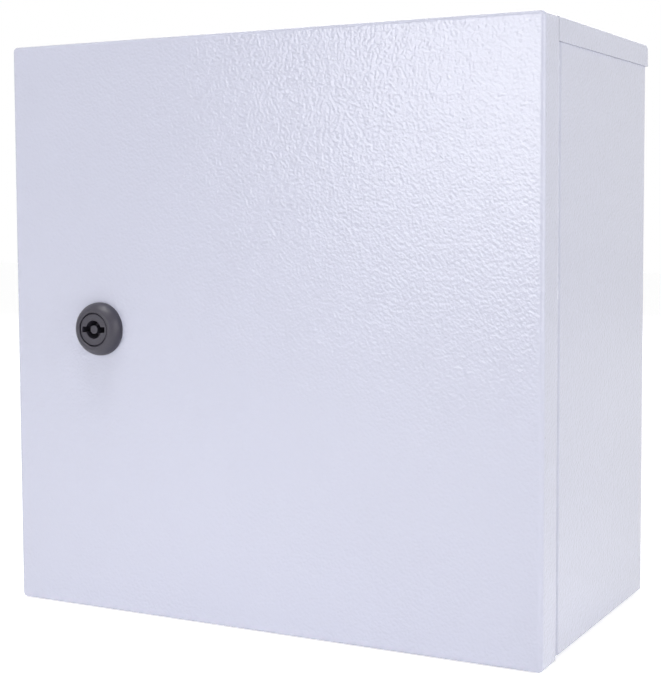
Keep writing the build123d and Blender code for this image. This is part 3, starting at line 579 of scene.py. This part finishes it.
lift = add_node(tree, "ShaderNodeMapRange", To_Min=0.0, To_Max=0.66)
shader.inputs["Emission Color"].default_value = (1.0, 1.0, 1.0, 1.0)
tree.links.new(seen_rays(tree), lift.inputs["Value"])
tree.links.new(lift.outputs["Result"], shader.inputs["Emission Strength"])
floor.data.materials.append(paper)
floor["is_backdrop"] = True

# Studio light: an even white surround with four softboxes.
# The front one glows in the upper right of the door, and the top one lights the floor ahead of the box.
# The right one draws the bright line on the fold of the door, and the rear one lights the back.
scene = bpy.context.scene
surround = bpy.data.worlds.new("white_studio")
scene.world = surround
surround.use_nodes = True
tree = surround.node_tree
fill = tree.nodes["Background"]
fill.inputs["Color"].default_value = (1.0, 1.0, 1.0, 1.0)
fill.inputs["Strength"].default_value = 0.315
white = add_node(tree, "ShaderNodeBackground", Color=(1.0, 1.0, 1.0, 1.0), Strength=1.0)
chosen = tree.nodes.new("ShaderNodeMixShader")
tree.links.new(seen_rays(tree), chosen.inputs["Fac"])
tree.links.new(fill.outputs["Background"], chosen.inputs[1])
tree.links.new(white.outputs["Background"], chosen.inputs[2])
tree.links.new(chosen.outputs["Shader"], tree.nodes["World Output"].inputs["Surface"])


def softbox(name, middle, target, wide, tall, power, spread=180.0):
    lamp = bpy.data.lights.new(name, "AREA")
    lamp.shape = "RECTANGLE"
    lamp.size = wide
    lamp.size_y = tall
    lamp.energy = power
    lamp.spread = math.radians(spread)
    holder = bpy.data.objects.new(name, lamp)
    scene.collection.objects.link(holder)
    toward = Vector(target) - Vector(middle)
    holder.rotation_euler = toward.to_track_quat("-Z", "Y").to_euler()
    holder.location = middle
    return lamp


def fade_edges(lamp, side_fade, end_fade):
    lamp.use_nodes = True
    tree = lamp.node_tree
    spot = tree.nodes.new("ShaderNodeNewGeometry")
    parts = tree.nodes.new("ShaderNodeSeparateXYZ")
    both = tree.nodes.new("ShaderNodeMath")
    both.operation = "MULTIPLY"
    tree.links.new(spot.outputs["Parametric"], parts.inputs["Vector"])
    middle = 0.5
    for index, (axis, fade) in enumerate((("X", side_fade), ("Y", end_fade))):
        off = tree.nodes.new("ShaderNodeMath")
        off.operation = "SUBTRACT"
        off.inputs[1].default_value = middle
        away = tree.nodes.new("ShaderNodeMath")
        away.operation = "ABSOLUTE"
        ramp = add_node(tree, "ShaderNodeMapRange", From_Min=middle, From_Max=middle - fade)
        ramp.interpolation_type = "SMOOTHSTEP"
        tree.links.new(parts.outputs[axis], off.inputs[0])
        tree.links.new(off.outputs[0], away.inputs[0])
        tree.links.new(away.outputs[0], ramp.inputs["Value"])
        tree.links.new(ramp.outputs["Result"], both.inputs[index])
    tree.links.new(both.outputs[0], tree.nodes["Emission"].inputs["Strength"])


front_lamp = softbox(
    "front_softbox", middle=(-0.32, -1.58, 0.53), target=(-0.32, 0.0, 0.53), wide=1.08, tall=1.00, power=15.0
)
fade_edges(front_lamp, side_fade=0.30, end_fade=0.22)
softbox(
    "top_softbox", middle=(0.0, -0.50, 1.60), target=(0.0, -0.50, 0.0), wide=0.80, tall=0.60, power=2.12,
    spread=50.0,
)
softbox(
    "right_softbox", middle=(1.60, -0.22, 0.46), target=(0.15, -0.05, 0.30), wide=0.60, tall=1.00, power=9.4
)
softbox(
    "rear_softbox", middle=(-0.60, 1.70, 0.90), target=(0.0, 0.10, 0.20), wide=1.20, tall=0.90, power=7.0
)

# Camera: eye level a little above the middle of the door, to the right of the box.
# The lens is shifted, so that upright edges stay nearly parallel as in the photograph.
photo_width, photo_height = 661.0, 700.0
focal_px, lens_x, lens_y = 1490.34, 300.0, 308.0
yaw, pitch, roll = -0.49931, 0.06690, -0.00610
eye_x, eye_ahead, eye_z = 0.373244, 0.637387, 0.212809
door_front_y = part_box("door_panel")[0][1]
ahead = Vector((math.sin(yaw) * math.cos(pitch), math.cos(yaw) * math.cos(pitch), -math.sin(pitch)))
right = Vector((math.cos(yaw), -math.sin(yaw), 0.0))
above = right.cross(ahead)
right, above = (
    math.cos(roll) * right + math.sin(roll) * above,
    math.cos(roll) * above - math.sin(roll) * right,
)
camera_data = bpy.data.cameras.new("photo_camera")
camera_data.sensor_width = 36.0
camera_data.lens = focal_px * camera_data.sensor_width / photo_height
camera_data.shift_x = (photo_width / 2 - lens_x) / photo_height
camera_data.shift_y = (lens_y - photo_height / 2) / photo_height
camera = bpy.data.objects.new("photo_camera", camera_data)
scene.collection.objects.link(camera)
turn = Matrix((right, above, -ahead)).transposed().to_4x4()
camera.matrix_world = Matrix.Translation((eye_x, door_front_y - eye_ahead, eye_z)) @ turn
scene.camera = camera

scene.view_settings.view_transform = "Standard"

low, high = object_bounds()
